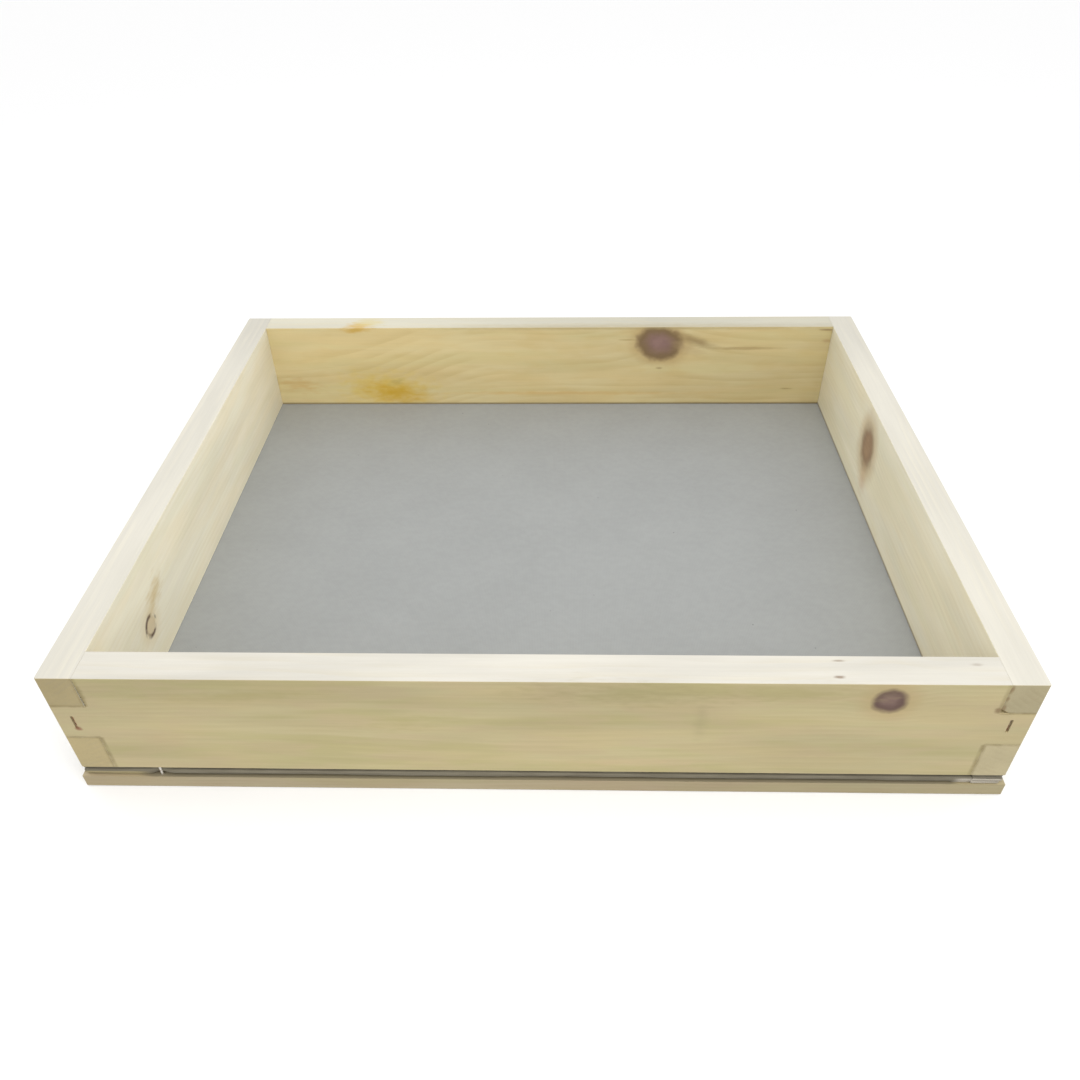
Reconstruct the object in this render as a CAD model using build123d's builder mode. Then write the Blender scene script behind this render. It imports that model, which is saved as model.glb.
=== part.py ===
from build123d import *

import os

os.makedirs("parts", exist_ok=True)

# A deep, box-jointed pine frame for screen printing. The screen is stretched under the
# four rails, and four laths clamp it from below, with packing strips between.
# Millimetres, +Z up, origin at the centre of the base. The front rail is at -Y.

# Rails
FRAME_LENGTH = 508.0        # outside, along X
FRAME_DEPTH = 406.4         # outside, along Y
BOARD = 19.05               # thickness of the rails and width of the laths
RAIL_HEIGHT = 73.0
ARRIS = 0.5                 # easing of the sanded rims
CORNER_RADIUS = 1.2         # easing of the four upright corners

# Box joints: the front and back rails have one finger, between two of the side rails
UPPER_FINGER = 21.4
MIDDLE_FINGER = 25.3
JOINT_GAP = 0.1

# Layers under the rails
LATH_HEIGHT = 9.3
LATH_OVERHANG = 2.2         # how far the laths stand past the rails at each end in X
LATH_ARRIS = 0.6
SEAM_HEIGHT = 8.2           # from the laths to the rails: a strip and the screen
SCREEN_THICKNESS = 0.4
SCREEN_MARGIN = 0.5         # from the rails' outer faces to the screen's edge
STRIP_INSET = 1.1           # from the rails' outer faces to the strips' sides
STRIP_INNER_INSET = 2.0     # from the rails' inner faces to the strips' sides
STRIP_END_INSET = 0.6       # from the rails' outer faces to the strips' ends

# Brads that hold the laths, driven up through every layer into the rails
BRAD_DIAMETER = 1.6
BRAD_HEAD = 2.8
BRAD_HEAD_HEIGHT = 0.8
BRAD_SHANK = 30.0
BRAD_POINT = 2.4
BRAD_TAPER = 16             # degrees, from the shank to the point
BRAD_SET = 0.4              # depth of the head below the lath's underside
BRAD_STRAY = 1.9            # the brad nearest the front left corner runs this near the face
LONG_BRADS = 6              # under the front and back rails
LONG_BRAD_PITCH = 84.4
SHORT_BRADS = 5             # under the side rails
SHORT_BRAD_PITCH = 75.0

# Staples that hold the screen, with their crowns let into the strips: one between each two
# brads, and one at this distance from the side's middle at each end
SCREEN_STAPLE = {"crown": 10.6, "leg": 14.0, "width": 1.27, "thickness": 0.5}
LONG_END_STAPLE = 236.0
SHORT_END_STAPLE = 172.0

# Staples that pin the box joints through the middle fingers
CORNER_STAPLE = {"crown": 9.8, "leg": 30.0, "width": 1.5, "thickness": 1.4}
CORNER_STAPLE_SET = 1.2     # depth of the crown below the rail's face

PLAY = 0.05                 # between a fastener and its hole, all round

RAIL_BASE = LATH_HEIGHT + SEAM_HEIGHT
RIM = RAIL_BASE + RAIL_HEIGHT
LOWER_FINGER = RAIL_HEIGHT - UPPER_FINGER - MIDDLE_FINGER
SCREEN_BASE = RAIL_BASE - SCREEN_THICKNESS

# Each side is a plane on the base: X runs along the side and Y points into the frame.
SIDES = {
    "front": Plane(origin=(0, -FRAME_DEPTH / 2, 0), x_dir=(1, 0, 0), z_dir=(0, 0, 1)),
    "right": Plane(origin=(FRAME_LENGTH / 2, 0, 0), x_dir=(0, 1, 0), z_dir=(0, 0, 1)),
    "back": Plane(origin=(0, FRAME_DEPTH / 2, 0), x_dir=(-1, 0, 0), z_dir=(0, 0, 1)),
    "left": Plane(origin=(-FRAME_LENGTH / 2, 0, 0), x_dir=(0, -1, 0), z_dir=(0, 0, 1)),
}
LONG_SIDES = ("front", "back")


def outer_face(side, height):
    """The side's outer face, with Y up, from the given height above the base."""
    return Plane(origin=side.origin + Vector(0, 0, height), x_dir=side.x_dir, z_dir=-side.y_dir)


# ---------------------------------------------------------------- fasteners


def brads(side, spots, play=0.0):
    """Brads at (along, inward) spots, or with play the holes that they need."""
    with BuildPart() as group:
        with BuildSketch(side.offset(BRAD_SET if play == 0 else 0)):
            with Locations(*spots):
                Circle(BRAD_HEAD / 2 + play)
        extrude(amount=BRAD_HEAD_HEIGHT if play == 0 else BRAD_HEAD_HEIGHT + BRAD_SET)
        with BuildSketch(side.offset(BRAD_SET)):
            with Locations(*spots):
                Circle(BRAD_DIAMETER / 2 + play)
        extrude(amount=BRAD_SHANK)
        with BuildSketch(side.offset(BRAD_SET + BRAD_SHANK)):
            with Locations(*spots):
                Circle(BRAD_DIAMETER / 2 + play)
        extrude(amount=BRAD_POINT, taper=BRAD_TAPER)
    return group.part


def staple(crown_plane, size, play=0.0):
    """One staple: the plane's X runs along its crown and its Y is the way it is driven."""
    reach = (size["crown"] - size["width"]) / 2
    with BuildPart() as wire:
        with BuildSketch(crown_plane):
            Rectangle(size["crown"] + 2 * play, size["thickness"] + play, align=(Align.CENTER, Align.MIN))
            with Locations((-reach, 0), (reach, 0)):
                Rectangle(size["width"] + 2 * play, size["leg"] + play, align=(Align.CENTER, Align.MIN))
        extrude(amount=size["width"] / 2 + play, both=True)
    return wire.part


def crown_plane(point, along, driven):
    """The plane of a staple's wire, at the middle of its crown's outer face."""
    return Plane(origin=point, x_dir=along, z_dir=Vector(along).cross(Vector(driven)))


def screen_staples(side, stations, play=0.0):
    """Staples driven up through the screen into the rail, their crowns under the screen."""
    crown_height = SCREEN_BASE - SCREEN_STAPLE["thickness"]
    with BuildPart() as group:
        for along in stations:
            point = side.from_local_coords(Vector(along, BOARD / 2, crown_height))
            add(staple(crown_plane(point, side.x_dir, (0, 0, 1)), SCREEN_STAPLE, play))
    return group.part


def corner_staples(side, spots, play=0.0):
    """Upright staples at (along, height) spots, driven inward from the side's outer face."""
    with BuildPart() as group:
        for along, height in spots:
            point = side.from_local_coords(Vector(along, CORNER_STAPLE_SET, height))
            add(staple(crown_plane(point, (0, 0, 1), side.y_dir), CORNER_STAPLE, play))
        if play > 0:
            with BuildSketch(outer_face(side, 0)):
                with Locations(*spots):
                    Rectangle(CORNER_STAPLE["width"] + 2 * play, CORNER_STAPLE["crown"] + 2 * play)
            extrude(amount=-CORNER_STAPLE_SET - CORNER_STAPLE["thickness"])
    return group.part


def row(count, pitch):
    """Where a row of fasteners stands along its side, centred on the side's middle."""
    return [(n - (count - 1) / 2) * pitch for n in range(count)]


long_spots = [(along, BOARD / 2) for along in row(LONG_BRADS, LONG_BRAD_PITCH)]
short_spots = [(along, BOARD / 2) for along in row(SHORT_BRADS, SHORT_BRAD_PITCH)]
BRAD_SPOTS = {
    "front": [(long_spots[0][0], BRAD_STRAY)] + long_spots[1:],
    "back": long_spots,
    "left": short_spots,
    "right": short_spots,
}

LONG_STATIONS = row(LONG_BRADS - 1, LONG_BRAD_PITCH) + [-LONG_END_STAPLE, LONG_END_STAPLE]
SHORT_STATIONS = row(SHORT_BRADS - 1, SHORT_BRAD_PITCH) + [-SHORT_END_STAPLE, SHORT_END_STAPLE]

# The corner staples stand a little off each other's height, as they were fired by hand.
CORNER_SPOTS = {
    "front": [(-244.6, RIM - 34.5), (242.8, RIM - 31.5)],
    "back": [(-243.6, RIM - 33.0), (244.4, RIM - 35.5)],
}

brad_groups = {name: brads(side, BRAD_SPOTS[name]) for name, side in SIDES.items()}
brad_holes = {name: brads(side, BRAD_SPOTS[name], PLAY) for name, side in SIDES.items()}
stations = {name: LONG_STATIONS if name in LONG_SIDES else SHORT_STATIONS for name in SIDES}
staple_groups = {name: screen_staples(side, stations[name]) for name, side in SIDES.items()}
staple_holes = {name: screen_staples(side, stations[name], PLAY) for name, side in SIDES.items()}
corner_groups = {name: corner_staples(SIDES[name], spots) for name, spots in CORNER_SPOTS.items()}
corner_holes = [corner_staples(SIDES[name], spots, PLAY) for name, spots in CORNER_SPOTS.items()]

# ---------------------------------------------------------------- rails

# The frame is sanded after it is glued, so all four rails share one eased outline.
with BuildPart() as outline:
    with BuildSketch(Plane.XY.offset(RAIL_BASE)):
        Rectangle(FRAME_LENGTH, FRAME_DEPTH)
        Rectangle(FRAME_LENGTH - 2 * BOARD, FRAME_DEPTH - 2 * BOARD, mode=Mode.SUBTRACT)
    extrude(amount=RAIL_HEIGHT)
    fillet(outline.edges().filter_by(Axis.Z).sort_by_distance((0, 0, 0))[-4:], radius=CORNER_RADIUS)
    fillet(outline.faces().sort_by(Axis.Z)[-1].edges(), radius=ARRIS)
    chamfer(outline.faces().sort_by(Axis.Z)[0].edges(), length=ARRIS / 2)


def rail(side, length, notches, notch_depth):
    """A board on edge with (bottom, top) notches cut out of both its ends."""
    with BuildPart() as board:
        with BuildSketch(outer_face(side, RAIL_BASE)):
            Rectangle(length, RAIL_HEIGHT, align=(Align.CENTER, Align.MIN))
            for bottom, top in notches:
                with Locations((-length / 2, bottom), (length / 2, bottom)):
                    Rectangle(
                        2 * notch_depth,
                        top - bottom,
                        align=(Align.CENTER, Align.MIN),
                        mode=Mode.SUBTRACT,
                    )
        extrude(amount=-BOARD)
        add(outline.part, mode=Mode.INTERSECT)
    return board.part


UPPER_NOTCH = (LOWER_FINGER + MIDDLE_FINGER - JOINT_GAP, RAIL_HEIGHT)
LOWER_NOTCH = (0, LOWER_FINGER + JOINT_GAP)
MIDDLE_NOTCH = (LOWER_FINGER, LOWER_FINGER + MIDDLE_FINGER)

blanks = {}
for name, side in SIDES.items():
    if name in LONG_SIDES:
        blanks[name] = rail(side, FRAME_LENGTH, (LOWER_NOTCH, UPPER_NOTCH), BOARD + JOINT_GAP)
    else:
        blanks[name] = rail(side, FRAME_DEPTH, (MIDDLE_NOTCH,), BOARD)

# Front left shoulder: the saw ran off line, so the joint opens towards its foot.
SHOULDER_OPENING = 0.9
SHOULDER_X = -FRAME_LENGTH / 2 + BOARD + JOINT_GAP
UPPER_FOOT = RIM - UPPER_FINGER

with BuildPart() as front_rail:
    add(blanks["front"])
    with BuildSketch(outer_face(SIDES["front"], 0)):
        with BuildLine():
            Polyline(
                (SHOULDER_X, RIM),
                (SHOULDER_X, UPPER_FOOT),
                (SHOULDER_X + SHOULDER_OPENING, UPPER_FOOT),
                close=True,
            )
        make_face()
    extrude(amount=-BOARD / 2, mode=Mode.SUBTRACT)
    add(brad_holes["front"], mode=Mode.SUBTRACT)
    add(staple_holes["front"], mode=Mode.SUBTRACT)
    add(corner_holes, mode=Mode.SUBTRACT)

with BuildPart() as back_rail:
    add(blanks["back"])
    add(brad_holes["back"], mode=Mode.SUBTRACT)
    add(staple_holes["back"], mode=Mode.SUBTRACT)
    add(corner_holes, mode=Mode.SUBTRACT)

with BuildPart() as left_rail:
    add(blanks["left"])
    add(list(brad_holes.values()), mode=Mode.SUBTRACT)
    add(list(staple_holes.values()), mode=Mode.SUBTRACT)
    add(corner_holes, mode=Mode.SUBTRACT)

# Front right corner: a chip has broken out at the foot of the side rail's upper finger.
CHIP_WIDTH = 5.0
CHIP_HEIGHT = 3.4
CHIP_DEPTH = 3.0
CHIP_X = FRAME_LENGTH / 2 - BOARD

with BuildPart() as right_rail:
    add(blanks["right"])
    with BuildSketch(outer_face(SIDES["front"], 0)):
        with BuildLine():
            Polyline(
                (CHIP_X, UPPER_FOOT),
                (CHIP_X + CHIP_WIDTH, UPPER_FOOT),
                (CHIP_X, UPPER_FOOT + CHIP_HEIGHT),
                close=True,
            )
        make_face()
    extrude(amount=-CHIP_DEPTH, mode=Mode.SUBTRACT)
    add(list(brad_holes.values()), mode=Mode.SUBTRACT)
    add(list(staple_holes.values()), mode=Mode.SUBTRACT)
    add(corner_holes, mode=Mode.SUBTRACT)

# ---------------------------------------------------------------- screen, strips and laths

with BuildPart() as screen:
    with BuildSketch(Plane.XY.offset(SCREEN_BASE)):
        Rectangle(FRAME_LENGTH - 2 * SCREEN_MARGIN, FRAME_DEPTH - 2 * SCREEN_MARGIN)
    extrude(amount=SCREEN_THICKNESS)
    add(list(brad_holes.values()), mode=Mode.SUBTRACT)
    add(list(staple_holes.values()), mode=Mode.SUBTRACT)


def packing_strip(side, length):
    """A strip between a lath and the screen, whose far end butts against the next strip."""
    start = -length / 2 + STRIP_END_INSET
    end = length / 2 - BOARD + STRIP_INNER_INSET
    width = BOARD - STRIP_INSET - STRIP_INNER_INSET
    with BuildPart() as strip:
        with BuildSketch(side.offset(LATH_HEIGHT)):
            with Locations((start, STRIP_INSET)):
                Rectangle(end - start, width, align=Align.MIN)
        extrude(amount=SCREEN_BASE - LATH_HEIGHT)
        add(list(brad_holes.values()), mode=Mode.SUBTRACT)
        add(list(staple_holes.values()), mode=Mode.SUBTRACT)
    return strip.part


def lath(side, length, overhang):
    """A lath under a rail, its outer face the overhang past the rail's."""
    with BuildPart() as batten:
        with BuildSketch(side):
            with Locations((0, -overhang)):
                Rectangle(length, BOARD, align=(Align.CENTER, Align.MIN))
        extrude(amount=LATH_HEIGHT)
        chamfer(batten.faces().sort_by(Axis.Z)[0].edges(), length=LATH_ARRIS)
        add(list(brad_holes.values()), mode=Mode.SUBTRACT)
    return batten.part


LONG_LATH = FRAME_LENGTH + 2 * LATH_OVERHANG
SHORT_LATH = FRAME_DEPTH - 2 * BOARD - 2 * JOINT_GAP

strips = {}
laths = {}
for name, side in SIDES.items():
    if name in LONG_SIDES:
        strips[name] = packing_strip(side, FRAME_LENGTH)
        laths[name] = lath(side, LONG_LATH, 0)
    else:
        strips[name] = packing_strip(side, FRAME_DEPTH)
        laths[name] = lath(side, SHORT_LATH, LATH_OVERHANG)

# ---------------------------------------------------------------- pieces

front_rail.part.label = "front_rail"
back_rail.part.label = "back_rail"
left_rail.part.label = "left_rail"
right_rail.part.label = "right_rail"
screen.part.label = "screen"

export_step(front_rail.part, "parts/front_rail.step")
export_step(back_rail.part, "parts/back_rail.step")
export_step(left_rail.part, "parts/left_rail.step")
export_step(right_rail.part, "parts/right_rail.step")
export_step(screen.part, "parts/screen.step")

groups = {"packing_strip": strips, "lath": laths, "brads": brad_groups,
          "screen_staples": staple_groups, "corner_staples": corner_groups}
for kind, pieces in groups.items():
    for name, piece in pieces.items():
        piece.label = f"{name}_{kind}"
        export_step(piece, f"parts/{piece.label}.step")
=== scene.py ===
import math
import random

import bmesh
import bpy
from mathutils import Matrix, Vector


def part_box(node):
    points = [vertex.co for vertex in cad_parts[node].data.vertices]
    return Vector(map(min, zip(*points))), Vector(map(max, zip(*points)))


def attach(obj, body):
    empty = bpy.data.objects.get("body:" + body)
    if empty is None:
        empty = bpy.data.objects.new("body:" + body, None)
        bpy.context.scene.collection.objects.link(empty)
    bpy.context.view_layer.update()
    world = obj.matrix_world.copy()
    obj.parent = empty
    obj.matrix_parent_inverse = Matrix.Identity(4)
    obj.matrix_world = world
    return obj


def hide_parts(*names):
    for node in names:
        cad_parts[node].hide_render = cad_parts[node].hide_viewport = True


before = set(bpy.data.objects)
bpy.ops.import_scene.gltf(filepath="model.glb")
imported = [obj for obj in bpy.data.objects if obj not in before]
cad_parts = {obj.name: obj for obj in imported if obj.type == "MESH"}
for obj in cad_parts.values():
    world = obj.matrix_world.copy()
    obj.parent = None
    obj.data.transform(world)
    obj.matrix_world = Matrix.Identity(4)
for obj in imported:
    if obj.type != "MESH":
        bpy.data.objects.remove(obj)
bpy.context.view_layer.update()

MM = 0.001
SIDES = ("front", "right", "back", "left")

# ---------------------------------------------------------------- places, in millimetres


def mm_box(node):
    """A node's lowest and highest corners in millimetres."""
    low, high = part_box(node)
    return [round(x / MM, 3) for x in low], [round(x / MM, 3) for x in high]


(LEFT, FRONT, RAIL_BASE), (RIGHT, FRONT_INNER, RIM) = mm_box("front_rail")
BOARD = FRONT_INNER - FRONT
BACK = mm_box("back_rail")[1][1]
BACK_INNER = BACK - BOARD
SCREEN_BASE = mm_box("screen")[0][2]
LOWER_FINGER = 26.3             # heights of the side rails' fingers
UPPER_FINGER = 21.4
FINGER_FOOT = RAIL_BASE + LOWER_FINGER      # the front and back rails' middle fingers
FINGER_TOP = RIM - UPPER_FINGER

# ---------------------------------------------------------------- node trees


MIX_FACTOR, MIX_A, MIX_B, MIX_RESULT = 0, 6, 7, 2       # a mix node's sockets for colours


class Graph:
    """A material's node tree. Each call adds a node and returns the socket that it gives."""

    def __init__(self, name):
        self.material = bpy.data.materials.new(name)
        self.material.use_nodes = True
        self.tree = self.material.node_tree
        self.tree.nodes.clear()

    def add(self, kind, inputs, output=0, **settings):
        node = self.tree.nodes.new(kind)
        for key, value in settings.items():
            setattr(node, key, value)
        for key, value in inputs.items():
            socket = node.inputs[key]
            if isinstance(value, bpy.types.NodeSocket):
                self.tree.links.new(value, socket)
            else:
                socket.default_value = value
        return node.outputs[output]

    def math(self, operation, a, b=0.0, c=0.0):
        return self.add("ShaderNodeMath", {0: a, 1: b, 2: c}, operation=operation)

    def total(self, first, *others):
        for other in others:
            first = self.math("ADD", first, other)
        return first

    def span(self, value, start, end, low=0.0, high=1.0):
        """Goes smoothly from low to high as the value goes from start to end."""
        inputs = {
            "Value": value, "From Min": start, "From Max": end, "To Min": low, "To Max": high,
        }
        return self.add("ShaderNodeMapRange", inputs, interpolation_type="SMOOTHSTEP")

    def mix(self, factor, a, b):
        """Goes from colour a to colour b as the factor goes from 0 to 1."""
        a, b = (c if isinstance(c, bpy.types.NodeSocket) else (*c, 1.0) for c in (a, b))
        inputs = {MIX_FACTOR: factor, MIX_A: a, MIX_B: b}
        return self.add("ShaderNodeMix", inputs, output=MIX_RESULT, data_type="RGBA")

    def shade(self, colour, factor):
        """The colour made lighter or darker by a factor."""
        return self.add("ShaderNodeVectorMath", {0: colour, "Scale": factor}, operation="SCALE")

    def vector(self, x, y, z):
        return self.add("ShaderNodeCombineXYZ", {"X": x, "Y": y, "Z": z})

    def split(self, vector):
        node = self.tree.nodes.new("ShaderNodeSeparateXYZ")
        self.tree.links.new(vector, node.inputs[0])
        return node.outputs[0], node.outputs[1], node.outputs[2]

    def scaled(self, vector, factors):
        return self.add("ShaderNodeVectorMath", {0: vector, 1: factors}, operation="MULTIPLY")

    def moved(self, vector, offset):
        return self.add("ShaderNodeVectorMath", {0: vector, 1: offset}, operation="ADD")

    def noise(self, vector, size, detail=2.0, roughness=0.5):
        """Noise from 0 to 1, whose features have the given (x, y, z) size."""
        place = self.scaled(vector, tuple(1.0 / s for s in size))
        inputs = {"Vector": place, "Scale": 1.0, "Detail": detail, "Roughness": roughness}
        return self.add("ShaderNodeTexNoise", inputs)

    def wobble(self, vector, size, amount, detail=1.0):
        """Noise about zero, up to the given amount either way."""
        centred = self.math("SUBTRACT", self.noise(vector, size, detail), 0.5)
        return self.math("MULTIPLY", centred, 2.0 * amount)

    def reach(self, point, at, radii, lean=0.0):
        """How far a point lies from an ellipsoid's centre, in its radii. Lean lifts its right end."""
        turn = (0.0, -math.radians(lean), 0.0)
        inputs = {"Vector": point, "Location": at, "Rotation": turn, "Scale": radii}
        local = self.add("ShaderNodeMapping", inputs, vector_type="TEXTURE")
        return self.add("ShaderNodeVectorMath", {0: local}, output="Value", operation="LENGTH")

    def position(self):
        """The point on the object, in millimetres."""
        here = self.add("ShaderNodeTexCoord", {}, output="Object")
        return self.scaled(here, (1 / MM, 1 / MM, 1 / MM))

    def normal(self):
        return self.split(self.add("ShaderNodeTexCoord", {}, output="Normal"))

    def bump(self, height, distance, strength=1.0, under=None):
        inputs = {"Height": height, "Distance": distance * MM, "Strength": strength}
        if under is not None:
            inputs["Normal"] = under
        return self.add("ShaderNodeBump", inputs)

    def finish(self, colour, roughness, normal=None, **constants):
        inputs = {"Base Color": colour, "Roughness": roughness}
        if normal is not None:
            inputs["Normal"] = normal
        for key, value in constants.items():
            inputs[key.replace("_", " ")] = value
        surface = self.add("ShaderNodeBsdfPrincipled", inputs)
        output = self.tree.nodes.new("ShaderNodeOutputMaterial")
        self.tree.links.new(surface, output.inputs["Surface"])
        return self.material


# ---------------------------------------------------------------- pine

KNOT_RIM = (0.10, 0.055, 0.04)
GLUE_LINE = (0.30, 0.235, 0.11)
# Painted shade along the foot of the inner faces.
FOOT_SHADE = (0.20, 0.145, 0.075)
THROUGH = 400.0                 # a knot's reach through its board, far past both faces
RING_SWAY = 6.0                 # how far the rings wander through a board's thickness
TAN_FROM = -214.0               # along X, left of here the seam's lower part is tan
PALER_FROM = 226.0              # along X, right of here the seam's lower part is paler


def board_point(graph, along, centre):
    """A board's own coordinates: along its grain, through its thickness and up."""
    point = graph.moved(graph.position(), tuple(-c for c in centre))
    if along == "X":
        return point
    x, y, z = graph.split(point)
    return graph.vector(y, x, z)


def growth_rings(graph, point, place, grain, reaches):
    """How far a point is into the dark late wood of its ring, from 0 to 1."""
    length, through, up = graph.split(point)
    if "bend" in grain:
        start, end, drop = grain["bend"]
        up = graph.math("SUBTRACT", up, graph.span(length, start, end, drop, 0.0))
    sway = graph.wobble(place, (260, 70, 70), RING_SWAY)
    wave = graph.wobble(graph.moved(place, (0, 0, 400)), (190, 60, 60), grain.get("wave", 9.0))
    through = graph.total(through, -grain["pith"][0], sway)
    up = graph.total(up, -grain["pith"][1], wave)
    squares = graph.math("ADD", graph.math("POWER", through, 2.0), graph.math("POWER", up, 2.0))
    radius = graph.math("SQRT", squares)
    radius = graph.math("ADD", radius, graph.wobble(place, (30, 7, 7), 0.5, detail=2.0))
    for flow, reach in reaches:
        fade = graph.math("MULTIPLY", graph.math("POWER", reach, 2.0), -0.3)
        radius = graph.math("MULTIPLY_ADD", graph.math("POWER", math.e, fade), flow, radius)
    turn = graph.math("FRACT", graph.math("DIVIDE", radius, grain["rings"]))
    late = graph.math("MULTIPLY", graph.span(turn, 0.1, 0.84), graph.span(turn, 1.0, 0.88))
    patches = graph.span(graph.noise(place, (70, 11, 11), 2.0), 0.36, 0.66, 0.05, 1.0)
    return graph.math("MULTIPLY", late, patches)


def glue_lines(graph):
    """How much of the joint's brown glue line shows, from 0 to 1, on the front and back faces."""
    x, y, z = graph.split(graph.position())
    face = graph.span(graph.math("ABSOLUTE", y), BACK - 1.5, BACK - 0.5)
    shoulder = graph.math("SUBTRACT", graph.math("ABSOLUTE", x), RIGHT - BOARD)
    outside = graph.span(shoulder, -1.4, 0.4)
    upright = graph.span(graph.math("ABSOLUTE", graph.math("ADD", shoulder, 0.4)), 2.3, 0.4)
    # "Middle" is a height's distance from the middle finger's centre line.
    middle = graph.math("ABSOLUTE", graph.math("SUBTRACT", z, (FINGER_TOP + FINGER_FOOT) / 2))
    half = (FINGER_TOP - FINGER_FOOT) / 2
    upright = graph.math("MULTIPLY", upright, graph.span(middle, half - 0.5, half + 0.5))
    level = graph.span(graph.math("ABSOLUTE", graph.math("SUBTRACT", middle, half)), 1.5, 0.2)
    level = graph.math("MULTIPLY", level, outside)
    patchy = graph.span(graph.noise(graph.position(), (7, 7, 7), 2.0), 0.3, 0.62, 0.45, 1.0)
    lines = graph.math("MAXIMUM", upright, level)
    return graph.math("MULTIPLY", lines, graph.math("MULTIPLY", patchy, face))


def paint_knot(graph, colour, place, knot, reach):
    """Lays a knot's warm halo, its mottled or ringed heart and its dark rim over the colour."""
    warm = graph.span(reach, knot.get("halo", 2.2), 0.9, 0.0, knot.get("halo_strength", 0.5))
    colour = graph.mix(warm, colour, knot.get("halo_colour", (0.48, 0.31, 0.13)))
    rings = graph.math("FRACT", graph.math("MULTIPLY", reach, knot.get("rings", 2.6)))
    mottle = graph.span(graph.noise(place, (7, 7, 7), 2.0), 0.3, 0.7)
    blotches = graph.math("MULTIPLY", mottle, 0.4)
    blend = graph.math("MULTIPLY_ADD", graph.span(rings, 0.2, 0.9), 0.45, blotches)
    heart = graph.mix(blend, knot["light"], knot["dark"])
    heart = graph.mix(graph.span(reach, 0.15, 0.85), heart, knot.get("margin", knot["dark"]))
    core = graph.span(reach, 1.1, knot.get("soft", 0.8), 0.0, knot.get("strength", 1.0))
    colour = graph.mix(core, colour, heart)
    rim = graph.math("ABSOLUTE", graph.math("SUBTRACT", reach, 0.95))
    rim = graph.span(rim, knot.get("rim_width", 0.14), 0.02, 0.0, knot.get("rim", 0.35))
    return graph.mix(graph.math("MULTIPLY", rim, graph.span(mottle, 0.0, 0.7)), colour, KNOT_RIM)


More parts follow.
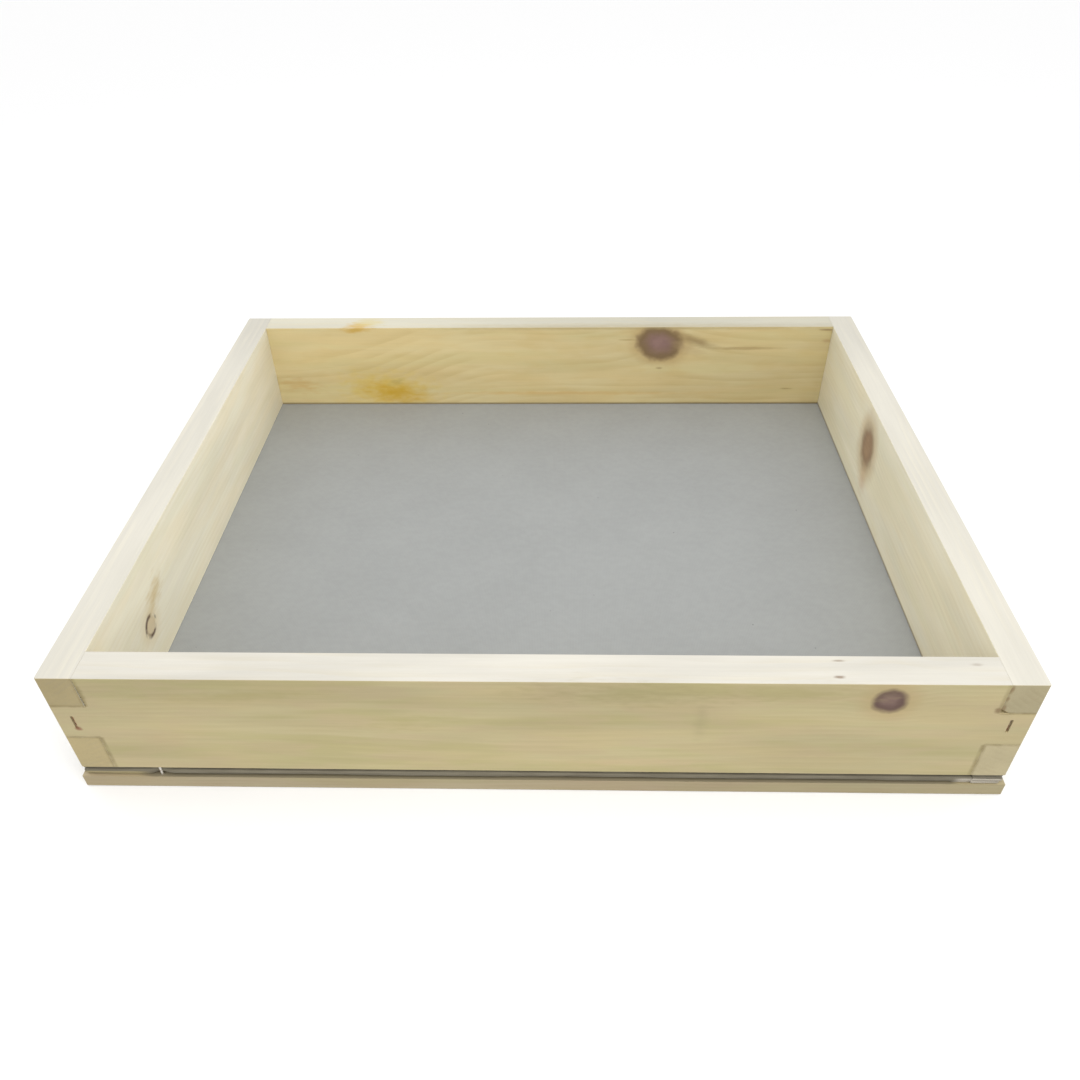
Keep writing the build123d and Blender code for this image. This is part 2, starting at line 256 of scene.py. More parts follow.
def pine(name, along, centre, grain, tones, knots=(), spots=(), seed=0.0):
    """Bare sanded pine: rings about a pith, knots that the grain flows round, fibres and spots."""
    graph = Graph(name)
    point = board_point(graph, along, centre)
    place = graph.moved(point, (seed * 731.0, seed * 97.0, seed * 53.0))
    blur = graph.wobble(place, (8, 8, 8), 0.17, detail=2.0)
    reaches = []
    for knot in knots:
        radii = (knot["radii"][0], THROUGH, knot["radii"][1])
        at = (knot["at"][0], 0.0, knot["at"][1])
        reach = graph.math("ADD", graph.reach(point, at, radii, knot.get("lean", 0.0)), blur)
        reaches.append((knot.get("flow", 6.0), reach))
    late = growth_rings(graph, point, place, grain, reaches)

    streaks = graph.noise(place, (60, 1.5, 1.5), 3.0, 0.6)
    fibres = graph.noise(graph.moved(place, (50, 0, 0)), (11, 0.3, 0.3), 2.0, 0.6)
    clouds = graph.noise(graph.moved(place, (0, 80, 0)), (130, 22, 22), 2.0)
    warmth = graph.span(graph.noise(graph.moved(place, (90, 0, 60)), (80, 17, 17), 2.0), 0.36, 0.64)
    green = graph.span(graph.noise(graph.moved(place, (190, 40, 0)), (110, 13, 13), 2.0), 0.46, 0.66)

    blotch = graph.span(graph.noise(graph.moved(place, (300, 20, 10)), (30, 20, 9), 2.0), 0.45, 0.66)

    colour = graph.mix(warmth, tones["pale"], tones["warm"])
    colour = graph.mix(graph.math("MULTIPLY", green, tones.get("green", 0.4)), colour, tones["olive"])
    colour = graph.mix(graph.math("MULTIPLY", blotch, tones.get("blotches", 0.3)), colour, tones["blotch"])
    colour = graph.mix(graph.math("MULTIPLY", late, tones["contrast"]), colour, tones["late"])

    for knot, (_, reach) in zip(knots, reaches):
        colour = paint_knot(graph, colour, place, knot, reach)

    nx, ny, nz = graph.normal()
    world_x, _, height = graph.split(graph.position())
    # Painted highlight: the upward-facing rim is painted paler and less saturated than the faces, as the
    # brightly lit top.
    at_rim = graph.span(height, RIM - 1.2, RIM - 0.4)
    upper = graph.math("MULTIPLY", graph.span(nz, 0.35, 0.9), at_rim)
    rim_highlight_base = tones.get("rim", RIM_HIGHLIGHT)
    rim_highlight_colour = graph.mix(graph.math("MULTIPLY", late, 0.14), rim_highlight_base, tones["warm"])
    colour = graph.mix(graph.math("MULTIPLY", upper, 0.95), colour, rim_highlight_colour)

    # End grain is a little browner than the face, with its pores and rings just showing.
    end = graph.span(graph.math("ABSOLUTE", nx if along == "X" else ny), 0.5, 0.9)
    pores = graph.noise(place, (0.6, 0.6, 0.6), 1.0)
    shade = graph.math("MULTIPLY_ADD", pores, 0.3, graph.math("MULTIPLY", late, 0.3))
    end_colour = graph.mix(shade, tones.get("end", END_PALE), END_DARK)
    end_colour = graph.shade(end_colour, graph.span(height, FINGER_FOOT, FINGER_TOP, 1.03, 0.84))
    colour = graph.mix(graph.math("MULTIPLY", end, 0.95), colour, end_colour)
    roughness = graph.span(late, 0.0, 1.0, 0.62, 0.52)

    for spot in spots:
        reach = graph.reach(point, spot["at"], spot["radii"], spot.get("lean", 0.0))
        size, amount = spot.get("ragged", (9, 2.5, 2.5)), spot.get("torn", 0.45)
        reach = graph.math("ADD", reach, graph.wobble(place, size, amount, detail=2.0))
        cover = graph.span(reach, 1.15, spot.get("sharp", 0.3), 0.0, spot["strength"])
        colour = graph.mix(cover, colour, spot["colour"])
    if grain.get("jointed", True):
        outer = graph.span(graph.math("ABSOLUTE", ny), 0.5, 0.9, 0.0, 0.7)
        colour = graph.mix(graph.math("MULTIPLY", glue_lines(graph), outer), colour, GLUE_LINE)

    # Painted shade: the laths' upper side is painted dark where it shows in the seam, under the strip.
    if "ledge" in tones:
        ledge = graph.math("MULTIPLY", graph.span(nz, 0.5, 0.9), tones["ledge"])
        ledge = graph.math("MULTIPLY", ledge, graph.span(world_x, TAN_FROM - 12.0, TAN_FROM))
        ledge = graph.math("MULTIPLY", ledge, graph.span(world_x, PALER_FROM + 6.0, PALER_FROM))
        colour = graph.mix(ledge, colour, SEAM_SHADE)
    # Painted shade: a dark line runs along the foot of the inner face, where the screen meets it.
    if "foot" in tones:
        inward = graph.math("MULTIPLY", nx if along == "Y" else ny, -1.0)
        foot = graph.math("MULTIPLY", graph.span(inward, 0.5, 0.9), tones["foot"])
        foot = graph.math("MULTIPLY", foot, graph.span(height, RAIL_BASE + 2.2, RAIL_BASE + 0.9))
        colour = graph.mix(foot, colour, FOOT_SHADE)

    cloudy = tones.get("cloudy", 0.04)
    light = graph.total(
        graph.span(streaks, 0.25, 0.75, -0.02, 0.02),
        graph.span(fibres, 0.2, 0.8, -0.02, 0.02),
        graph.span(clouds, 0.3, 0.7, -cloudy, cloudy),
        1.0,
    )
    length, _, up = graph.split(point)
    # Painted shade: the board darkens along its grain or up its face, as its falls give.
    for fall, axis in (("shade_along", length), ("shade_up", up)):
        if fall in tones:
            start, finish, share = tones[fall]
            light = graph.math("MULTIPLY", light, graph.span(axis, start, finish, 1.0, share))
    colour = graph.shade(colour, light)
    relief = graph.total(
        graph.math("MULTIPLY", fibres, 0.6),
        graph.math("MULTIPLY", streaks, 0.35),
        graph.math("MULTIPLY", late, 0.3),
        graph.math("MULTIPLY", graph.math("MULTIPLY", pores, end), 0.8),
    )
    normal = graph.bump(relief, 0.14, 0.5)
    return graph.finish(colour, roughness, normal, Specular_IOR_Level=0.3)


END_PALE = (0.55, 0.475, 0.285)
END_DARK = (0.43, 0.345, 0.19)
# Painted highlight: the lit rim's colour.
RIM_HIGHLIGHT = (0.615, 0.59, 0.52)
PURPLE_KNOT = {"light": (0.235, 0.15, 0.125), "dark": (0.135, 0.08, 0.065)}
BROWN_KNOT = {"light": (0.36, 0.215, 0.115), "dark": (0.22, 0.125, 0.07)}
OCHRE = (0.60, 0.385, 0.08)
RESIN = (0.60, 0.37, 0.04)
SEAM_TAN = (0.46, 0.385, 0.21)
# Painted shade in the seam, on the laths' upper side.
SEAM_SHADE = (0.24, 0.205, 0.13)

# Each board's colours. A fall, along its grain or up its face, is painted shade: where the board begins to
# darken, where it stops, and the share of its brightness that is left.
# The front board's tones are darker and the side boards' paler, partly the boards' own colour and partly
# painted shade on the front face and painted light on the inner faces.
FRONT_TONES = {
    "pale": (0.60, 0.52, 0.295),
    "warm": (0.615, 0.515, 0.285),
    "late": (0.47, 0.39, 0.19),
    "olive": (0.51, 0.455, 0.215),
    "blotch": (0.60, 0.485, 0.29),
    "blotches": 0.5,
    "contrast": 0.22,
    "green": 0.6,
    "cloudy": 0.065,
    "rim": (0.665, 0.64, 0.575),
    "shade_up": (-30, 30, 0.92),
}
BACK_TONES = {
    "pale": (0.71, 0.595, 0.325),
    "warm": (0.70, 0.56, 0.285),
    "late": (0.54, 0.405, 0.165),
    "olive": (0.64, 0.56, 0.275),
    "blotch": (0.66, 0.50, 0.22),
    "contrast": 0.32,
    "rim": (0.62, 0.60, 0.50),
    "foot": 0.7,
    "shade_along": (-190, 160, 0.86),
}
LEFT_TONES = {
    "pale": (0.88, 0.84, 0.68),
    "warm": (0.88, 0.81, 0.62),
    "late": (0.76, 0.68, 0.46),
    "olive": (0.82, 0.785, 0.59),
    "blotch": (0.90, 0.85, 0.72),
    "contrast": 0.25,
    "end": (0.515, 0.415, 0.205),
    "shade_along": (100, 200, 0.9),
}
RIGHT_TONES = {
    "pale": (0.84, 0.79, 0.62),
    "warm": (0.84, 0.77, 0.57),
    "late": (0.70, 0.62, 0.42),
    "olive": (0.78, 0.74, 0.53),
    "blotch": (0.82, 0.74, 0.53),
    "contrast": 0.28,
    "shade_along": (100, 200, 0.93),
    "foot": 0.7,
}
LATH_TONES = {
    "pale": (0.48, 0.405, 0.26),
    "warm": (0.46, 0.375, 0.23),
    "late": (0.355, 0.285, 0.15),
    "olive": (0.43, 0.385, 0.20),
    "blotch": (0.47, 0.36, 0.24),
    "contrast": 0.35,
    "ledge": 0.85,
}
MIDDLE = (RAIL_BASE + RIM) / 2
HALF_HEIGHT = (RIM - RAIL_BASE) / 2
HALF_BOARD = BOARD / 2


def below_rim(distance):
    """A height measured down from the rim, on a board's own axis."""
    return HALF_HEIGHT - distance


def over_base(distance):
    """A height measured up from a rail's foot, on a board's own axis."""
    return distance - HALF_HEIGHT


def front_rail_pine():
    face, back = -HALF_BOARD, HALF_BOARD
    dot = {"colour": (0.22, 0.14, 0.085), "sharp": 0.2, "ragged": (3, 1, 1), "torn": 0.3}
    return pine(
        "pine_front_rail", "X", (0, FRONT + HALF_BOARD, MIDDLE),
        {"pith": (46, -62), "rings": 3.1, "wave": 8.0}, FRONT_TONES,
        knots=(
            {"at": (178.0, below_rim(12.4)), "radii": (9.6, 9.4), "lean": 14, "halo": 2.1,
             "soft": 0.66, "halo_strength": 0.3, "rim": 0.12, "rings": 0.0, "flow": 5.0, **PURPLE_KNOT},
        ),
        spots=(
            {"at": (-150, face, below_rim(12)), "radii": (62, 9, 6), "lean": 4,
             "colour": (0.455, 0.39, 0.16), "strength": 0.5, "sharp": -0.2},
            {"at": (45, face, below_rim(10)), "radii": (66, 9, 10), "lean": -2,
             "colour": (0.45, 0.375, 0.19), "strength": 0.6, "torn": 0.9, "sharp": -0.3},
            {"at": (135, face, below_rim(8)), "radii": (60, 9, 8), "colour": (0.47, 0.395, 0.195),
             "strength": 0.45, "torn": 0.9, "sharp": -0.3},
            {"at": (-70, face, below_rim(33)), "radii": (34, 9, 9), "lean": 8,
             "colour": (0.47, 0.42, 0.18), "strength": 0.35, "torn": 1.0, "sharp": -0.4},
            {"at": (-196, face, below_rim(47)), "radii": (30, 9, 8), "lean": 5,
             "colour": (0.60, 0.46, 0.26), "strength": 0.35, "torn": 1.0, "sharp": -0.4},
            {"at": (233.6, face, below_rim(19)), "radii": (2.4, 4, 2.6),
             "colour": (0.25, 0.16, 0.08), "strength": 0.8},
            {"at": (50, face, below_rim(64)), "radii": (66, 9, 4.5), "lean": 1,
             "colour": (0.66, 0.50, 0.30), "strength": 0.5, "torn": 0.7, "sharp": -0.3},
            {"at": (85, face, below_rim(30)), "radii": (5, 6, 20), "colour": (0.42, 0.35, 0.20),
             "strength": 0.35, "torn": 0.7, "sharp": -0.2},
            {"at": (-234.6, face, below_rim(13)), "radii": (3.0, 5, 11),
             "colour": (0.33, 0.27, 0.11), "strength": 0.6},
            {"at": (-244.0, face, below_rim(39.4)), "radii": (2.4, 3, 1.9),
             "colour": (0.30, 0.12, 0.07), "strength": 0.8},
            {"at": (153.5, back - 3.4, HALF_HEIGHT), "radii": (4.2, 0.9, 3), "strength": 0.55, **dot},
            {"at": (151.5, face + 4.6, HALF_HEIGHT), "radii": (3.4, 1.3, 3), "strength": 0.75, **dot},
            {"at": (222, face + 13.5, HALF_HEIGHT), "radii": (3.6, 1.2, 3), "strength": 0.3, **dot},
        ),
        seed=1,
    )


def back_rail_pine():
    face = -HALF_BOARD
    return pine(
        "pine_back_rail", "X", (0, BACK - HALF_BOARD, MIDDLE),
        {"pith": (-34, 66), "rings": 6.2, "wave": 12.0, "bend": (-215, -25, -44)}, BACK_TONES,
        knots=(
            {"at": (93.7, below_rim(14.6)), "radii": (20.5, 16.5), "lean": -14, "halo": 1.5, "soft": 0.75,
             "halo_strength": 0.5, "rim": 0.1, "rings": 0.0, "flow": 9,
             "light": (0.31, 0.19, 0.165), "dark": (0.21, 0.125, 0.11), "margin": (0.235, 0.155, 0.075)},
        ),
        spots=(
            {"at": (-139, face, below_rim(58)), "radii": (48, 14, 23), "lean": -5,
             "colour": (0.70, 0.52, 0.12),
             "strength": 0.8, "torn": 0.7, "ragged": (10, 5, 5), "sharp": -0.1},
            {"at": (-134, face, below_rim(61)), "radii": (36, 12, 14), "lean": -8, "colour": RESIN,
             "strength": 0.95, "torn": 0.6, "ragged": (9, 4, 4), "sharp": -0.1},
            {"at": (-131, face, below_rim(51)), "radii": (9, 8, 3.6), "lean": 18,
             "colour": (0.52, 0.40, 0.13), "strength": 0.6, "torn": 0.8},
            {"at": (-160, face + 3, below_rim(1.5)), "radii": (15, 9, 3.6), "lean": 6,
             "colour": OCHRE,
             "strength": 0.85, "torn": 0.6},
            {"at": (-150, face + 10, HALF_HEIGHT), "radii": (15, 9, 3),
             "colour": (0.62, 0.53, 0.25), "strength": 0.6, "torn": 0.5},
            {"at": (70, face, below_rim(0.6)), "radii": (230, 9, 2.4),
             "colour": (0.43, 0.345, 0.17), "strength": 0.5, "torn": 0.3, "sharp": 0.1},
            {"at": (118, face, below_rim(19)), "radii": (20, 7, 7), "lean": -20,
             "colour": (0.52, 0.38, 0.20), "strength": 0.5, "torn": 0.4, "sharp": -0.2},
            {"at": (124, face, below_rim(13)), "radii": (23, 6, 5.4), "lean": -19,
             "colour": (0.33, 0.23, 0.10), "strength": 0.85, "torn": 0.3, "sharp": -0.1},
            {"at": (164, face, below_rim(19.6)), "radii": (36, 6, 1.9),
             "colour": (0.41, 0.29, 0.12), "strength": 0.6, "torn": 0.3},
            {"at": (66, face, below_rim(11.5)), "radii": (9, 6, 1.0), "colour": (0.42, 0.30, 0.11),
             "strength": 0.5, "torn": 0.3},
            {"at": (95, face, below_rim(38)), "radii": (3.4, 6, 1.3),
             "colour": (0.33, 0.22, 0.10), "strength": 0.55},
            {"at": (205, face, below_rim(58)), "radii": (6.5, 6, 1.0),
             "colour": (0.38, 0.27, 0.10), "strength": 0.6},
            {"at": (231, face, below_rim(3)), "radii": (8, 6, 1.0),
             "colour": (0.28, 0.18, 0.09), "strength": 0.7},
            {"at": (232, face, below_rim(13)), "radii": (5, 6, 2.2),
             "colour": (0.50, 0.30, 0.15), "strength": 0.45},
            {"at": (-215, face, below_rim(54)), "radii": (22, 6, 8), "lean": -10,
             "colour": (0.60, 0.39, 0.15), "strength": 0.6, "torn": 1.0, "sharp": -0.2},
            {"at": (20, face, below_rim(62)), "radii": (150, 6, 2.4), "colour": (0.64, 0.43, 0.16),
             "strength": 0.6, "torn": 0.5, "sharp": 0.0},
        ),
        seed=2,
    )


def left_rail_pine():
    return pine(
        "pine_left_rail", "Y", (LEFT + HALF_BOARD, 0, MIDDLE),
        {"pith": (-42, 78), "rings": 3.4}, LEFT_TONES,
        knots=(
            {"at": (-122.6, over_base(30)), "radii": (7.0, 6.4), "lean": 14, "light": (0.62, 0.50, 0.31),
             "dark": (0.62, 0.49, 0.30), "rim": 0.95, "rim_width": 0.34, "halo": 2.6, "halo_strength": 0.35,
             "strength": 0.6, "halo_colour": (0.72, 0.56, 0.31)},
        ),
        spots=(
            {"at": (-108, HALF_BOARD, over_base(42)), "radii": (18, 6, 10), "lean": 25,
             "colour": (0.62, 0.46, 0.20), "strength": 0.75, "torn": 0.7, "sharp": -0.2},
            {"at": (0, HALF_BOARD, over_base(2)), "radii": (210, 6, 5),
             "colour": (0.84, 0.79, 0.62), "strength": 0.5, "sharp": 0.2},
        ),
        seed=3,
    )


def right_rail_pine():
    end_shoulder = 0.6 - HALF_BOARD
    dash = {"colour": (0.27, 0.175, 0.09), "strength": 0.8, "ragged": (2, 2, 2), "torn": 0.4, "sharp": 0.2}
    return pine(
        "pine_right_rail", "Y", (RIGHT - HALF_BOARD, 0, MIDDLE),
        {"pith": (38, 74), "rings": 3.2}, RIGHT_TONES,
        knots=(
            {"at": (51, over_base(43)), "radii": (15, 19), "lean": -12, "halo": 1.8, "halo_strength": 0.45,
             "rim": 0.05, "soft": 0.5, "strength": 0.85, "rings": 0.0, **BROWN_KNOT},
        ),
        spots=(
            {"at": (46, -HALF_BOARD, over_base(20)), "radii": (10, 6, 15), "lean": -12,
             "colour": (0.58, 0.37, 0.20), "strength": 0.5, "torn": 0.6, "sharp": -0.3},
            {"at": (FRONT, end_shoulder, below_rim(3.5)), "radii": (3, 1.5, 3.6), **dash},
            {"at": (FRONT, end_shoulder, below_rim(10.5)), "radii": (3, 1.1, 2.2), **dash},
            {"at": (FRONT, end_shoulder, below_rim(17.5)), "radii": (3, 1.7, 3.0), **dash},
        ),
        seed=4,
    )


def lath_pine(side, number):
    """A lath's wood, duller than the rails' and with rings of its own."""
    low, high = mm_box(f"{side}_lath")
    centre = tuple((a + b) / 2 for a, b in zip(low, high))
    grain = {"pith": (24 - 9 * number, -48), "rings": 2.7, "jointed": False}
    along = "X" if side in ("front", "back") else "Y"
    return pine(f"pine_{side}_lath", along, centre, grain, LATH_TONES, seed=11 + number)


# ---------------------------------------------------------------- cloth and steel


WEAVE_PITCH = 0.5
SPECK_SPACING = 17.0


def weave_height(graph, place):
    """The height of a plain weave of round threads, from 0 to 1."""
    x, y, _ = graph.split(place)
    turn = math.pi / WEAVE_PITCH
    sx = graph.math("SINE", graph.math("MULTIPLY", x, turn))
    sy = graph.math("SINE", graph.math("MULTIPLY", y, turn))
    cx = graph.math("COSINE", graph.math("MULTIPLY", x, turn))
    cy = graph.math("COSINE", graph.math("MULTIPLY", y, turn))
    warp = graph.math("MULTIPLY", graph.math("ABSOLUTE", sx), graph.math("MULTIPLY_ADD", cy, 0.5, 0.5))
    weft = graph.math("MULTIPLY", graph.math("ABSOLUTE", sy), graph.math("MULTIPLY_ADD", cx, 0.5, 0.5))
    return graph.math("MAXIMUM", warp, weft)


def cloth(name, base, shade_and_dirt):
    """A fine grey plain weave, with faint clouds, a few dark specks and painted shade in the hollows
    between threads.
    """
    graph = Graph(name)
    place = graph.position()
    height = weave_height(graph, place)
    clouds = graph.noise(place, (42, 30, 30), 3.0, 0.55)
    mottle = graph.noise(place, (5, 4, 4), 2.0)
    # Painted shade: the hollows between the threads are painted darker.
    colour = graph.mix(graph.span(height, 0.1, 0.9, 0.16, 0.0), base, shade_and_dirt)
    light = graph.total(
        graph.span(clouds, 0.3, 0.7, -0.02, 0.02), graph.span(mottle, 0.3, 0.7, -0.018, 0.018), 1.0
    )
    colour = graph.shade(colour, light)
    spread = graph.scaled(place, (1 / SPECK_SPACING,) * 3)
    inputs = {"Vector": spread, "Scale": 1.0, "Randomness": 1.0}
    cells = graph.add("ShaderNodeTexVoronoi", inputs, output="Distance")
    speck = graph.span(cells, 0.045, 0.02, 0.0, 0.75)
    rare = graph.span(graph.noise(place, (60, 60, 60)), 0.5, 0.56)
    colour = graph.mix(graph.math("MULTIPLY", speck, rare), colour, shade_and_dirt)
    normal = graph.bump(height, 0.08, 0.35)
    return graph.finish(colour, graph.span(height, 0.0, 1.0, 0.62, 0.5), normal, Specular_IOR_Level=0.35)


def strip_cloth(name, base, shade_and_dirt, paler_colour):
    """The same weave, grimy with glue, tan at the front left corner and paler low down at the front right,
    with painted shade in the hollows between threads.
    """
    graph = Graph(name)
    place = graph.position()
    x, y, z = graph.split(place)
    height = weave_height(graph, place)
    grime = graph.noise(place, (26, 26, 3), 3.0, 0.6)
    colour = graph.mix(graph.span(grime, 0.3, 0.7, 0.0, 0.6), base, shade_and_dirt)
    at_front = graph.span(y, FRONT + 20.0, FRONT + 12.0)
    # The seam's lower part is paler at the front right end.
    paler_low = graph.math("MULTIPLY", graph.span(x, PALER_FROM, PALER_FROM + 6.0), at_front)
    paler_low = graph.math("MULTIPLY", paler_low, graph.span(z, RAIL_BASE - 3.2, RAIL_BASE - 4.2))
    colour = graph.mix(paler_low, colour, paler_colour)
    tan = graph.math("MULTIPLY", graph.span(x, TAN_FROM, TAN_FROM - 12.0), at_front)
    tan = graph.math("MULTIPLY", tan, graph.span(z, RAIL_BASE - 3.6, RAIL_BASE - 4.6))
    colour = graph.mix(tan, colour, SEAM_TAN)
    # Painted shade: the hollows between the threads are painted darker.
    colour = graph.mix(graph.span(height, 0.1, 0.9, 0.2, 0.0), colour, shade_and_dirt)
    normal = graph.bump(height, 0.08, 0.35)
    return graph.finish(colour, 0.8, normal, Specular_IOR_Level=0.2)


def steel(name, bright, dull, dull_and_left_light, metallic):
    """Wire that has dulled in patches. The duller wire is painted lighter on the frame's left side, a
    painted light that lifts the left staple out of its recess's shade.
    """
    graph = Graph(name)
    place = graph.position()
    patches = graph.noise(place, (2.4, 2.4, 2.4), 3.0, 0.6)
    worn = graph.span(patches, 0.62 - 0.3 * dull_and_left_light, 0.72 - 0.3 * dull_and_left_light)
    colour = graph.mix(worn, bright, dull)
    x, _, _ = graph.split(place)
    # Painted light: lighter on the frame's left side, the more so the duller the wire.
    colour = graph.shade(colour, graph.span(x, -10.0, 10.0, 1.0 + 0.6 * dull_and_left_light, 1.0))
    scratches = graph.noise(place, (0.25, 0.25, 3.0), 2.0)
    normal = graph.bump(scratches, 0.03, 0.4)
    return graph.finish(colour, graph.span(worn, 0.0, 1.0, 0.34, 0.7), normal, Metallic=metallic)


# ---------------------------------------------------------------- pieces


def mesh_piece(name, bm, material, slot, *nodes):
    """A piece that rides with the frame and stands for the given CAD nodes."""
    bmesh.ops.recalc_face_normals(bm, faces=bm.faces)
    mesh = bpy.data.meshes.new(name)
    bm.to_mesh(mesh)
    bm.free()
    for polygon in mesh.polygons:
        polygon.use_smooth = True
    mesh.materials.append(material)
    piece = bpy.data.objects.new(name, mesh)
    bpy.context.scene.collection.objects.link(piece)
    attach(piece, "root")
    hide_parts(*nodes)
    return piece


CLOTH_THICKNESS = 0.3
CLOTH_STEP = 4.0
CLOTH_SAG = 0.7
CLOTH_EDGE = 30.0           # how far in from the rails the cloth takes to reach its full sag


def stretched_cloth(material):
    """The screen: a taut cloth that gives a little between its staples."""
    (x0, y0, _), (x1, y1, _) = mm_box("screen")
    columns = round((x1 - x0) / CLOTH_STEP)
    rows = round((y1 - y0) / CLOTH_STEP)
    inner_x, inner_y = RIGHT - BOARD, BACK_INNER
    base = SCREEN_BASE + CLOTH_THICKNESS / 2
    bm = bmesh.new()
    layers = []
    for offset in (CLOTH_THICKNESS / 2, -CLOTH_THICKNESS / 2):
        grid = []
        for i in range(columns + 1):
            x = x0 + (x1 - x0) * i / columns
            line = []
            for j in range(rows + 1):
                y = y0 + (y1 - y0) * j / rows
                from_rail = min(inner_x - abs(x), inner_y - abs(y))
                clear = min(1.0, max(0.0, from_rail / CLOTH_EDGE))
                ripple = 0.10 * math.sin(x / 31.0 + 0.7) * math.cos(y / 26.0)
                ripple += 0.08 * math.sin((x + 1.7 * y) / 47.0)
                z = base + offset + clear * (ripple - CLOTH_SAG)
                line.append(bm.verts.new((x * MM, y * MM, z * MM)))
            grid.append(line)
        layers.append(grid)
    for grid in layers:
        for i in range(columns):
            for j in range(rows):
                bm.faces.new((grid[i][j], grid[i + 1][j], grid[i + 1][j + 1], grid[i][j + 1]))
    top, bottom = layers
    border = [(i, 0) for i in range(columns)] + [(columns, j) for j in range(rows)]
    border += [(i, rows) for i in range(columns, 0, -1)] + [(0, j) for j in range(rows, 0, -1)]
    for (i, j), (k, m) in zip(border, border[1:] + border[:1]):
        bm.faces.new((top[i][j], top[k][m], bottom[k][m], bottom[i][j]))
    piece = mesh_piece("screen_cloth", bm, material, "screen_cloth", "screen")


STRIP_LAYERS = 4
STRIP_CLOTH = 1.15
STRIP_BULGE = 0.7           # how far the folds press out past the strip's body on the outside
FOLD_STEPS = 6
STATION = 2.5
STRAY_BRAD = -211.0         # the front strip is pushed in round this brad
DENT_DEPTH = 2.3
DENT_WIDTH = 4.5
LOW_RECESS = 1.3            # how far the lowest layer draws back between the seam's two ends
LEAST_WALL = 0.05           # no point comes nearer than this to the strip's two faces
WAVE_CLIMB = 5.0            # how far, in radians, the folds' waves shift from the foot to the top


def folded_section(width, height):
    """The outline, as points (inward, up), and the flat width of a band folded to and fro."""
    gap = height / STRIP_LAYERS
    bend = gap / 2
    line = []
    for layer in range(STRIP_LAYERS):
        level = bend + layer * gap
        ends = [bend, width - bend] if layer % 2 == 0 else [width - bend, bend]
        line += [(ends[0], level), (ends[1], level)]
        if layer < STRIP_LAYERS - 1:
            turn = 1 if layer % 2 == 0 else -1
            for step in range(1, FOLD_STEPS):
                angle = -math.pi / 2 + math.pi * step / FOLD_STEPS
                across = ends[1] + turn * bend * math.cos(angle)
                line.append((across, level + bend + bend * math.sin(angle)))
    length = sum(math.dist(a, b) for a, b in zip(line, line[1:]))
    sides = ([], [])
    for n, (px, py) in enumerate(line):
        ax, ay = line[max(n - 1, 0)]
        bx, by = line[min(n + 1, len(line) - 1)]
        size = math.hypot(bx - ax, by - ay)
        nx, ny = -(by - ay) / size, (bx - ax) / size
        for side, sign in zip(sides, (1, -1)):
            side.append((px + sign * nx * STRIP_CLOTH / 2, py + sign * ny * STRIP_CLOTH / 2))
    return sides[0] + sides[1][::-1], length


def packing_strip(side, material, seed):
    """A folded band that fills the seam on one side, with its folds a little uneven."""
    low, high = mm_box(f"{side}_packing_strip")
    along = 0 if side in ("front", "back") else 1
    across = 1 - along
    outer_is_low = side in ("front", "left")
    width, height = high[across] - low[across] + STRIP_BULGE, high[2] - low[2]
    if outer_is_low:
        outer = low[across] - STRIP_BULGE
    else:
        outer = high[across] + STRIP_BULGE
    outline, flat_width = folded_section(width, height)
    draw = random.Random(seed)
    phases = [draw.uniform(0, 2 * math.pi) for _ in range(3)]
    stations = round((high[along] - low[along]) / STATION)
    bm = bmesh.new()
    rings = []
    for n in range(stations + 1):
        u = low[along] + (high[along] - low[along]) * n / stations
        ring = []
        for inward, up in outline:
            shift = up / height * WAVE_CLIMB
            sway = 0.28 * math.sin(u / 23.0 + phases[0] + shift)
            sway += 0.18 * math.sin(u / 9.0 + phases[1] + 2.1 * shift)
            lift = 0.16 * math.sin(u / 41.0 + phases[2] + shift) * math.sin(math.pi * up / height)
            if TAN_FROM < u < PALER_FROM:
                recess = LOW_RECESS * max(0.0, 1.0 - up / (height / STRIP_LAYERS))
            else:
                recess = 0.0
            if side == "front":
                sway += DENT_DEPTH * math.exp(-(((u - STRAY_BRAD) / DENT_WIDTH) ** 2))
            inside = inward + (sway + recess) * (1.0 - inward / width)
            inside = min(max(inside, LEAST_WALL), width - LEAST_WALL)
            place = [0.0, 0.0, (low[2] + min(max(up + lift, 0.0), height)) * MM]
            place[along] = u * MM
            place[across] = (outer + inside if outer_is_low else outer - inside) * MM
            ring.append(bm.verts.new(place))
        rings.append(ring)
    count = len(outline)
    for a, b in zip(rings, rings[1:]):
        for k in range(count):
            bm.faces.new((a[k], a[(k + 1) % count], b[(k + 1) % count], b[k]))
    bm.faces.new(rings[0])
    bm.faces.new(rings[-1][::-1])
    name = f"{side}_folded_strip"
    piece = mesh_piece(name, bm, material, "packing_strip", f"{side}_packing_strip")


def dress(node, material):
    """Gives a CAD node a material in place of its own."""
    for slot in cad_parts[node].material_slots:
        slot.material = material


dress("front_rail", front_rail_pine())
dress("back_rail", back_rail_pine())
dress("left_rail", left_rail_pine())
dress("right_rail", right_rail_pine())
for number, side in enumerate(SIDES):
    dress(f"{side}_lath", lath_pine(side, number))

BRIGHT_WIRE = steel("bright_wire", (0.60, 0.58, 0.54), (0.34, 0.27, 0.20), 0.3, 0.85)
RUSTY_WIRE = steel("rusty_wire", (0.44, 0.34, 0.24), (0.30, 0.155, 0.095), 0.8, 0.25)
for side in SIDES:
    dress(f"{side}_brads", BRIGHT_WIRE)
    dress(f"{side}_screen_staples", BRIGHT_WIRE)
for side in ("front", "back"):
    dress(f"{side}_corner_staples", RUSTY_WIRE)

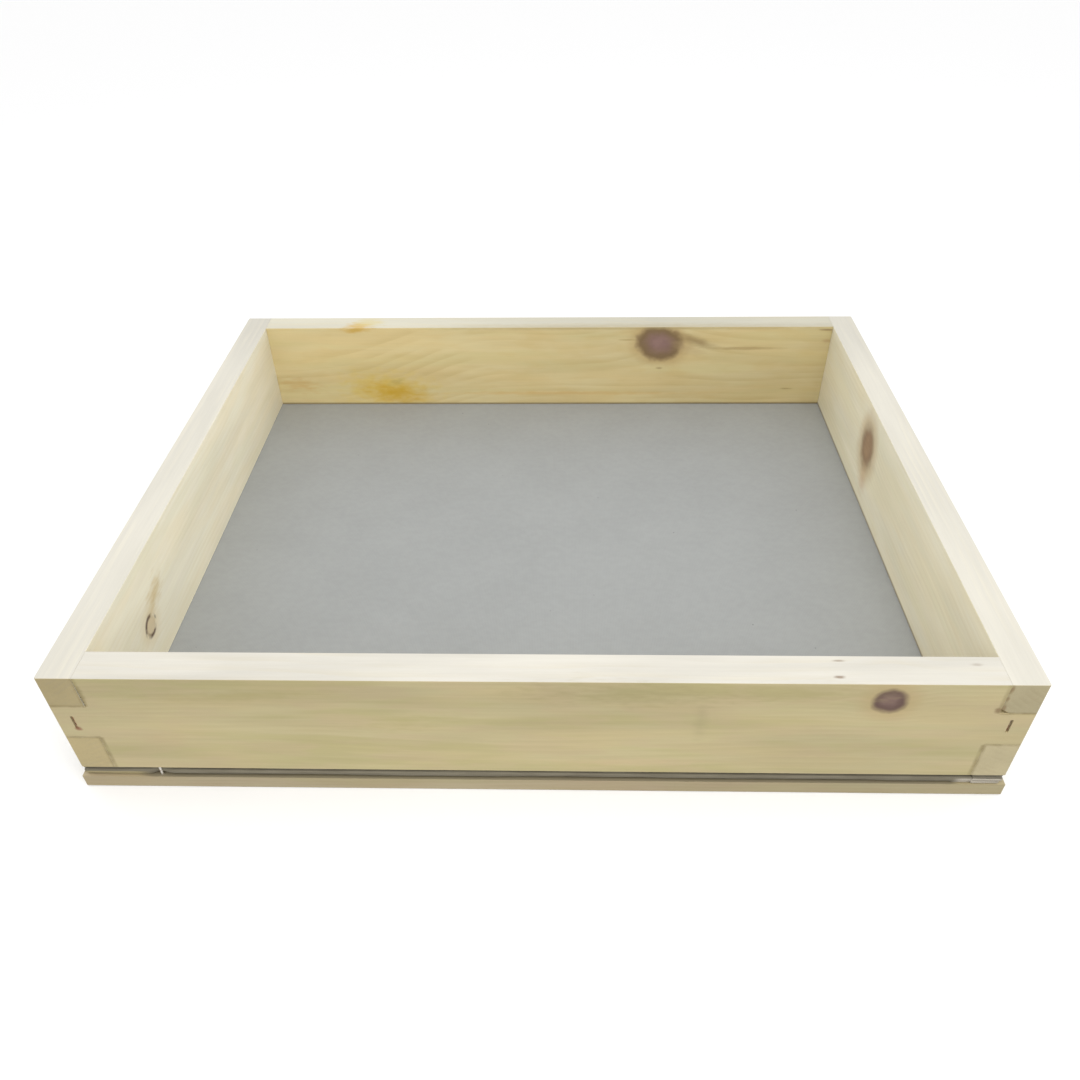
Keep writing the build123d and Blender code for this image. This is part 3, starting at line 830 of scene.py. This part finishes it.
SCREEN_CLOTH = cloth("screen_weave", (0.345, 0.355, 0.35), (0.19, 0.195, 0.19))
STRIP_WEAVE = strip_cloth("strip_weave", (0.245, 0.22, 0.16), (0.15, 0.13, 0.09), (0.56, 0.51, 0.42))
stretched_cloth(SCREEN_CLOTH)
for number, side in enumerate(SIDES):
    packing_strip(side, STRIP_WEAVE, 20 + number)

# ---------------------------------------------------------------- stage, light and camera

FLOOR_HALF = 12.0
DIM_BELOW = 0.26                # shares of the room's brightness
BRIGHT_ROUND = 1.0
BRIGHT_ABOVE = 0.63
ROOM_STRENGTH = 1.35
FLOOR_COLOUR = (0.95, 0.95, 0.95, 1.0)
SENSOR = 36.0
LENS = 30.16
AIM = Vector((-0.0017, -0.0429, 0.0498))
DISTANCE = 0.600
AZIMUTH = math.radians(-1.92)
ELEVATION = math.radians(39.54)
ROLL = math.radians(-1.06)


def floor():
    """A plain pale floor, which is seen but throws no light back onto the object."""
    graph = Graph("paper_floor")
    place = graph.position()
    tooth = graph.noise(place, (1.2, 1.2, 1.2), 2.0)
    roughness = graph.span(tooth, 0.2, 0.8, 0.85, 0.95)
    material = graph.finish(FLOOR_COLOUR, roughness, graph.bump(tooth, 0.02, 0.2))
    bm = bmesh.new()
    signs = ((-1, -1), (1, -1), (1, 1), (-1, 1))
    bm.faces.new([bm.verts.new((sx * FLOOR_HALF, sy * FLOOR_HALF, 0)) for sx, sy in signs])
    mesh = bpy.data.meshes.new("floor")
    bm.to_mesh(mesh)
    bm.free()
    mesh.materials.append(material)
    piece = bpy.data.objects.new("floor", mesh)
    bpy.context.scene.collection.objects.link(piece)
    piece.visible_diffuse = False


def area_light(name, place, target, size, power):
    light = bpy.data.lights.new(name, "AREA")
    light.shape = "RECTANGLE"
    light.size, light.size_y = size
    light.energy = power
    holder = bpy.data.objects.new(name, light)
    holder.location = place
    holder.rotation_euler = (Vector(target) - Vector(place)).to_track_quat("-Z", "Y").to_euler()
    bpy.context.scene.collection.objects.link(holder)


def studio():
    """A pale room, brightest low down and dim below the floor, and a soft box above the front."""
    world = bpy.data.worlds.new("studio")
    world.use_nodes = True
    tree = world.node_tree
    background = tree.nodes["Background"]
    ramp = tree.nodes.new("ShaderNodeValToRGB")
    # Along the ramp, 0 is straight down, 0.5 is level and 1 is straight up.
    dim, above = ramp.color_ramp.elements
    dim.position, above.position = 0.44, 1.0
    dim.color = (DIM_BELOW, DIM_BELOW, DIM_BELOW, 1.0)
    above.color = (BRIGHT_ABOVE, BRIGHT_ABOVE, BRIGHT_ABOVE, 1.0)
    level = ramp.color_ramp.elements.new(0.51)
    level.color = (BRIGHT_ROUND, BRIGHT_ROUND, BRIGHT_ROUND, 1.0)
    direction = tree.nodes.new("ShaderNodeTexCoord")
    height = tree.nodes.new("ShaderNodeSeparateXYZ")
    share = tree.nodes.new("ShaderNodeMath")
    share.operation = "MULTIPLY_ADD"
    share.inputs[1].default_value = 0.5
    share.inputs[2].default_value = 0.5
    tree.links.new(direction.outputs["Generated"], height.inputs[0])
    tree.links.new(height.outputs["Z"], share.inputs[0])
    tree.links.new(share.outputs[0], ramp.inputs[0])
    tree.links.new(ramp.outputs["Color"], background.inputs["Color"])
    background.inputs["Strength"].default_value = ROOM_STRENGTH
    bpy.context.scene.world = world
    area_light("softbox_front", (0.12, -0.5, 0.95), (0.0, 0.0, 0.0), (0.7, 0.6), 4.2)
    bpy.context.scene.view_settings.view_transform = "Standard"


def camera():
    data = bpy.data.cameras.new("camera")
    data.lens = LENS
    data.sensor_width = SENSOR
    data.clip_start = 0.01
    holder = bpy.data.objects.new("camera", data)
    level = math.cos(ELEVATION)
    forward = Vector((math.sin(AZIMUTH) * level, math.cos(AZIMUTH) * level, -math.sin(ELEVATION)))
    right = forward.cross(Vector((0, 0, 1))).normalized()
    up = right.cross(forward)
    tilted_right = right * math.cos(ROLL) + up * math.sin(ROLL)
    tilted_up = up * math.cos(ROLL) - right * math.sin(ROLL)
    turn = Matrix((tilted_right, tilted_up, -forward)).transposed()
    holder.matrix_world = Matrix.Translation(AIM - forward * DISTANCE) @ turn.to_4x4()
    bpy.context.scene.collection.objects.link(holder)
    bpy.context.scene.camera = holder


floor()
studio()
camera()
